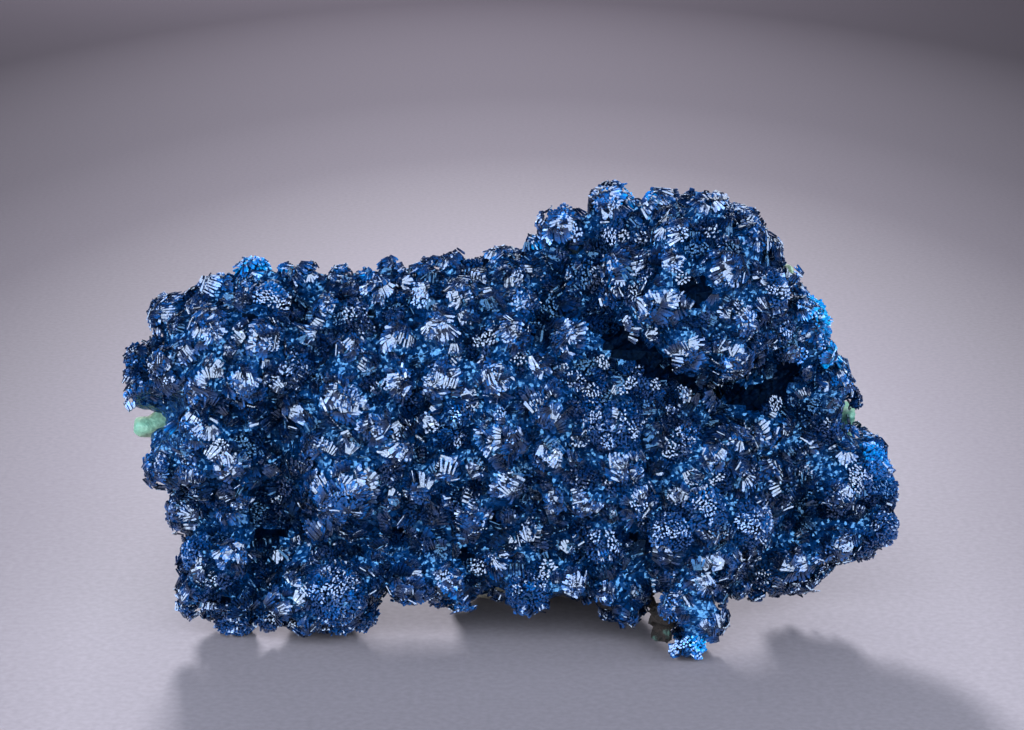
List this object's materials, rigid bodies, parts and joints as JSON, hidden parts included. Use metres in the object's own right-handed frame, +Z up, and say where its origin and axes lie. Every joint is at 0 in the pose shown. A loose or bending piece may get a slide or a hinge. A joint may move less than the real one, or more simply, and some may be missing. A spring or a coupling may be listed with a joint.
{
  "type": "mineral specimen",
  "caption": "Mineral specimen: a crust of deep blue crystal rosettes with a knob at one end, on a thin pale green layer over brown rock.",
  "frame": {"origin": "middle of the footprint's bounding box, on the floor the specimen stands on", "axes": "+Z up, +X to the right as seen from the crystal side, +Y from the crystals towards the rock behind them"},
  "size_m": [0.0712, 0.026, 0.0409],
  "materials": {
    "rock": "rough broken rock, grey-brown with rusty patches",
    "green_layer": "pale green, wavy and waxy, half matte",
    "blue_crystals": "deep blue crystals with bright glassy faces"
  },
  "bodies": {
    "root": {"rock_matrix": "rock", "hemimorphite_layer": "green_layer", "veszelyite_crust": "blue_crystals"}
  },
  "joints": []
}
